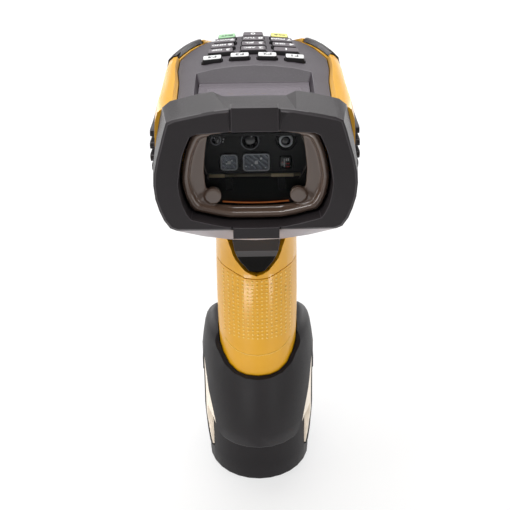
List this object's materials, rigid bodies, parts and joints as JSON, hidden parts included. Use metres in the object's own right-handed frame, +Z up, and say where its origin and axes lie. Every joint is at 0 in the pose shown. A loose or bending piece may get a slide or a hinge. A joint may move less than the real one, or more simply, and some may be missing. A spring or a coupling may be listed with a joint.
{
  "type": "cordless handheld barcode scanner",
  "caption": "Rugged pistol-grip barcode scanner with a ringed scan window, recessed display, keypad, trigger and a slide-out battery foot.",
  "frame": {"origin": "on the floor under the middle of the flat foot", "axes": "+Z up through the foot and the grip, -Y the way the scan window looks, +X to the right of a viewer who faces the window"},
  "size_m": [0.076, 0.1182, 0.2117],
  "materials": {
    "yellow_shell": "moulded yellow plastic, satin gloss, small raised dimples on the grip",
    "black_rubber": "overmoulded black rubber, satin",
    "deck_plastic": "dark grey textured plastic",
    "smoky_frame": "smoky brown translucent plastic",
    "clear_pane": "clear hard-coated window",
    "black_inside": "black glass-filled plastic",
    "lens_glass": "coated lens glass",
    "lens_ring": "machined ring round a lens",
    "light_lens": "clear moulded light lens",
    "board": "circuit board laminate",
    "screen_glass": "dark glossy display window",
    "module_metal": "display module can",
    "key_grey": "grey moulded key",
    "key_white": "white moulded key",
    "key_green": "pale green moulded key",
    "key_yellow": "pale yellow moulded key",
    "silicone_mat": "silicone key mat",
    "steel": "bright steel",
    "cell_pack": "sleeved rechargeable pack",
    "gold_contact": "gold plated contact pad",
    "inlay_yellow": "yellow insert, satin"
  },
  "bodies": {
    "housing": {"front_bumper": "black_rubber", "window_frame": "smoky_frame", "scan_window": "clear_pane", "engine_block": "black_inside", "imager_lens": "lens_glass", "aiming_lens": "lens_ring", "range_sensor": "lens_glass", "light_lens_left": "light_lens", "light_lens_centre": "light_lens", "pattern_window": "light_lens", "engine_board": "board", "engine_housing": "black_inside", "head_shell": "yellow_shell", "top_deck": "deck_plastic", "display_window": "screen_glass", "display_module": "module_metal", "key_mat": "silicone_mat", "main_board": "board", "beeper": "black_inside", "side_pad_right": "black_rubber", "side_pad_left": "black_rubber", "rear_rail_right": "black_rubber", "rear_rail_left": "black_rubber", "handle_frame": "yellow_shell", "grip_front": "yellow_shell", "trigger_pin": "steel", "trigger_spring": "steel", "trigger_switch": "black_inside", "boot": "black_rubber", "side_inlay_right": "inlay_yellow", "side_inlay_left": "inlay_yellow", "contact_block": "black_inside"},
    "key_f1_body": {"key_f1": "key_white"},
    "key_f2_body": {"key_f2": "key_white"},
    "key_f3_body": {"key_f3": "key_white"},
    "key_f4_body": {"key_f4": "key_white"},
    "key_1_body": {"key_1": "key_grey"},
    "key_2_body": {"key_2": "key_grey"},
    "key_3_body": {"key_3": "key_grey"},
    "key_4_body": {"key_4": "key_grey"},
    "key_5_body": {"key_5": "key_grey"},
    "key_6_body": {"key_6": "key_grey"},
    "key_7_body": {"key_7": "key_grey"},
    "key_8_body": {"key_8": "key_grey"},
    "key_9_body": {"key_9": "key_grey"},
    "key_clear_body": {"key_clear": "key_yellow"},
    "key_0_body": {"key_0": "key_grey"},
    "key_enter_body": {"key_enter": "key_green"},
    "trigger_body": {"trigger": "black_rubber"},
    "latch_right_body": {"latch_right": "black_rubber"},
    "latch_left_body": {"latch_left": "black_rubber"},
    "battery": {"battery_base": "black_rubber", "battery_pack": "cell_pack", "charge_contact_right": "gold_contact", "charge_contact_left": "gold_contact"}
  },
  "joints": [
    {"name": "press_f1", "type": "slide", "parent": "housing", "child": "key_f1_body", "axis": [0, -0.2079, -0.9781], "range_m": [0, 0.001], "stiffness_N_per_m": 1200},
    {"name": "press_f2", "type": "slide", "parent": "housing", "child": "key_f2_body", "axis": [0, -0.2079, -0.9781], "range_m": [0, 0.001], "stiffness_N_per_m": 1200},
    {"name": "press_f3", "type": "slide", "parent": "housing", "child": "key_f3_body", "axis": [0, -0.2079, -0.9781], "range_m": [0, 0.001], "stiffness_N_per_m": 1200},
    {"name": "press_f4", "type": "slide", "parent": "housing", "child": "key_f4_body", "axis": [0, -0.2079, -0.9781], "range_m": [0, 0.001], "stiffness_N_per_m": 1200},
    {"name": "press_1", "type": "slide", "parent": "housing", "child": "key_1_body", "axis": [0, -0.2079, -0.9781], "range_m": [0, 0.001], "stiffness_N_per_m": 1200},
    {"name": "press_2", "type": "slide", "parent": "housing", "child": "key_2_body", "axis": [0, -0.2079, -0.9781], "range_m": [0, 0.001], "stiffness_N_per_m": 1200},
    {"name": "press_3", "type": "slide", "parent": "housing", "child": "key_3_body", "axis": [0, -0.2079, -0.9781], "range_m": [0, 0.001], "stiffness_N_per_m": 1200},
    {"name": "press_4", "type": "slide", "parent": "housing", "child": "key_4_body", "axis": [0, -0.2079, -0.9781], "range_m": [0, 0.001], "stiffness_N_per_m": 1200},
    {"name": "press_5", "type": "slide", "parent": "housing", "child": "key_5_body", "axis": [0, -0.2079, -0.9781], "range_m": [0, 0.001], "stiffness_N_per_m": 1200},
    {"name": "press_6", "type": "slide", "parent": "housing", "child": "key_6_body", "axis": [0, -0.2079, -0.9781], "range_m": [0, 0.001], "stiffness_N_per_m": 1200},
    {"name": "press_7", "type": "slide", "parent": "housing", "child": "key_7_body", "axis": [0, -0.2079, -0.9781], "range_m": [0, 0.001], "stiffness_N_per_m": 1200},
    {"name": "press_8", "type": "slide", "parent": "housing", "child": "key_8_body", "axis": [0, -0.2079, -0.9781], "range_m": [0, 0.001], "stiffness_N_per_m": 1200},
    {"name": "press_9", "type": "slide", "parent": "housing", "child": "key_9_body", "axis": [0, -0.2079, -0.9781], "range_m": [0, 0.001], "stiffness_N_per_m": 1200},
    {"name": "press_clear", "type": "slide", "parent": "housing", "child": "key_clear_body", "axis": [0, -0.2079, -0.9781], "range_m": [0, 0.001], "stiffness_N_per_m": 1200},
    {"name": "press_0", "type": "slide", "parent": "housing", "child": "key_0_body", "axis": [0, -0.2079, -0.9781], "range_m": [0, 0.001], "stiffness_N_per_m": 1200},
    {"name": "press_enter", "type": "slide", "parent": "housing", "child": "key_enter_body", "axis": [0, -0.2079, -0.9781], "range_m": [0, 0.001], "stiffness_N_per_m": 1200},
    {"name": "trigger_pull", "type": "hinge", "parent": "housing", "child": "trigger_body", "pos_m": [0, -0.028, 0.1452], "axis": [1, 0, 0], "range_deg": [0, 7], "stiffness_Nm_per_rad": 0.5, "springref_deg": -5.73},
    {"name": "latch_right_press", "type": "slide", "parent": "housing", "child": "latch_right_body", "axis": [-1, 0, 0], "range_m": [0, 0.0014], "stiffness_N_per_m": 2000},
    {"name": "latch_left_press", "type": "slide", "parent": "housing", "child": "latch_left_body", "axis": [1, 0, 0], "range_m": [0, 0.0014], "stiffness_N_per_m": 2000},
    {"name": "battery_slide", "type": "slide", "parent": "housing", "child": "battery", "axis": [0, 0, -1], "range_m": [0, 0.084]}
  ]
}
